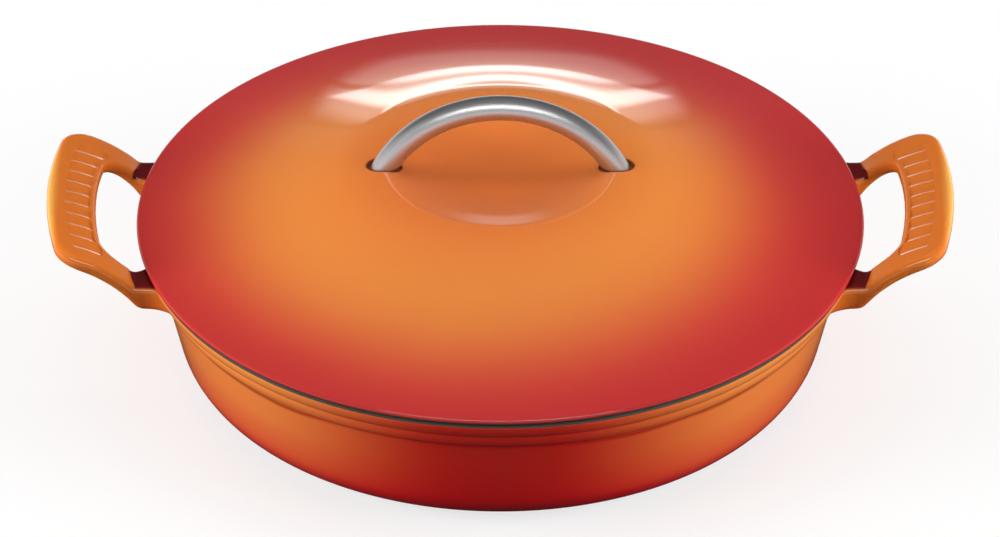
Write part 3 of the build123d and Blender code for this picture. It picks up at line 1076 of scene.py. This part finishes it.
def studio_floor():
    """Pale paint in view with the object's shadow, white further off in view and in reflections; to
    bounced light, and to reflections near the object, it is nearly black, a painted shade.
    """
    nodes = Nodes("studio_floor")
    distance = nodes.length(nodes.place())
    rays = nodes.add("ShaderNodeLightPath").outputs

    def whitened(seen, start, end, least):
        return nodes.math("MULTIPLY", nodes.fade(distance, start, end, low=least), seen)

    mirrored = nodes.math("MAXIMUM", rays["Is Glossy Ray"], rays["Is Transmission Ray"])
    in_view = whitened(rays["Is Camera Ray"], start=0.19, end=0.38, least=0.72)
    in_mirror = whitened(mirrored, start=0.28, end=0.46, least=0.0)
    # painted shade: the floor is nearly black to every ray but the camera's
    paint = nodes.ramp(rays["Is Camera Ray"], greys(((0.0, 0.06), (1.0, 0.97))))
    flat = nodes.add("ShaderNodeBsdfDiffuse", {"Color": paint})
    white = nodes.add("ShaderNodeEmission", {"Color": WHITE, "Strength": 1.0})
    share = nodes.math("MAXIMUM", in_view, in_mirror)
    nodes.join(nodes.either(share, flat, white), nodes.output, 0)
    return nodes.owner


def stage_disc(name, material, radius, matrix):
    """A flat round object with one material."""
    bm = bmesh.new()
    bmesh.ops.create_circle(bm, cap_ends=True, segments=96, radius=radius, matrix=matrix)
    mesh = bpy.data.meshes.new(name)
    bm.to_mesh(mesh)
    bm.free()
    mesh.materials.append(material)
    made = bpy.data.objects.new(name, mesh)
    bpy.context.scene.collection.objects.link(made)
    return made


def card_light(distance_back):
    """The card's light: a bright crescent along its lower edge, dim above."""
    full = 4.0
    nodes = Nodes("glowing_card")
    place = nodes.place()

    def rings(centre_height, reach, stops, level=1.0):
        """Greys by distance from a point of the card."""
        off = nodes.vector("SUBTRACT", place, (0, distance_back, centre_height))
        share = nodes.math("DIVIDE", nodes.length(off), reach)
        return nodes.ramp(share, greys(stops, reach, level))

    haze = rings(centre_height=0.2523, reach=0.26, level=full, stops=(
        (0, 0.16), (0.10, 0.30), (0.13, 0.75), (0.165, 0.85), (0.190, 1.0), (0.197, 1.2),
        (0.203, 3.8),
    ))
    lower = rings(centre_height=0.186, reach=0.25, stops=(
        (0.151, 1.0), (0.157, 0.34), (0.162, 0.34), (0.168, 1.0), (0.180, 1.0), (0.188, 0.3),
    ))
    power = nodes.vector("MULTIPLY", haze, lower)
    high = nodes.fade(nodes.part(place, 2), start=0.145, end=0.205)
    dim = (0.043,) * 3
    power = nodes.tinted(high, power, dim)
    light = nodes.add("ShaderNodeEmission", {"Color": power, "Strength": full})
    nodes.join(light, nodes.output, 0)
    return nodes.owner


def add_card(distance_back, height, radius):
    """A round card behind the object that only reflections see."""
    upright = Matrix.Rotation(math.pi / 2, 4, "X")
    stand = Matrix.Translation((0, distance_back, height)) @ upright
    card = stage_disc("glowing_card", card_light(distance_back), radius, stand)
    card.visible_camera = False
    card.visible_diffuse = False
    card.visible_shadow = False


def add_camera():
    """The camera, at the viewing angle that the object is shown from."""
    lens = bpy.data.cameras.new("camera")
    lens.lens = 391.5
    lens.sensor_width = 36
    lens.clip_end = 50
    camera = bpy.data.objects.new("camera", lens)
    rise = math.radians(33.35)
    reach = 4.71
    aim = Vector((-0.00013, 0, 0.04135))
    camera.location = aim + reach * Vector((0, -math.cos(rise), math.sin(rise)))
    camera.rotation_euler = (math.pi / 2 - rise, 0, 0)
    bpy.context.scene.collection.objects.link(camera)
    bpy.context.scene.camera = camera


class BRAISER_OT_stage(bpy.types.Operator):
    """Adds the floor, the pale room, the soft lamps, the glowing card and the camera"""
    bl_idname = "braiser.stage"
    bl_label = "Stage"

    def execute(self, context):
        floor = stage_disc("floor", studio_floor(), radius=12.0, matrix=Matrix.Identity(4))
        studio_world()
        above, front = (0, 0.60, 1.85), (0, -1.42, 1.45)
        left, right = ((side * 1.56, -0.36, 0.45) for side in (-1, 1))
        soft_lamp("overhead", above, width=2.2, height=1.8, radiance=1.54, glossy=False)
        for name, place in (("left_side", left), ("right_side", right)):
            soft_lamp(name, place, width=1.0, height=0.9, radiance=11.5, glossy=False)
        for name, place in (("left_strip", left), ("right_strip", right)):
            soft_lamp(name, place, width=0.32, height=0.7, radiance=8.0, diffuse=False)
        soft_lamp("front_key", front, width=2.2, height=0.50, radiance=5.4, diffuse=False)
        add_card(distance_back=0.82, height=0.259, radius=0.258)
        add_camera()
        context.scene.view_settings.view_transform = "Standard"
        return {"FINISHED"}


class BRAISER_PT_panel(bpy.types.Panel):
    """Lists the steps that build the braiser"""
    bl_idname = "BRAISER_PT_panel"
    bl_label = "Braiser"
    bl_space_type = "VIEW_3D"
    bl_region_type = "UI"
    bl_category = "Braiser"

    def draw(self, context):
        for operator in OPERATORS:
            self.layout.operator(operator.bl_idname)


OPERATORS = (
    BRAISER_OT_stage, BRAISER_OT_lid, BRAISER_OT_bowl, BRAISER_OT_loop_handles, BRAISER_OT_bar,
    BRAISER_OT_fasteners,
)
CLASSES = (BraiserSizes, BraiserColours, *OPERATORS, BRAISER_PT_panel)


def register():
    for item in CLASSES:
        bpy.utils.register_class(item)
    bpy.types.Scene.braiser_sizes = PointerProperty(type=BraiserSizes)
    bpy.types.Scene.braiser_colours = PointerProperty(type=BraiserColours)


def unregister():
    del bpy.types.Scene.braiser_colours
    del bpy.types.Scene.braiser_sizes
    for item in reversed(CLASSES):
        bpy.utils.unregister_class(item)


def main():
    register()
    bpy.ops.braiser.stage()
    bpy.ops.braiser.lid()
    bpy.ops.braiser.bowl()
    bpy.ops.braiser.loop_handles()
    bpy.ops.braiser.bar()
    bpy.ops.braiser.fasteners()


if __name__ == "__main__":
    main()
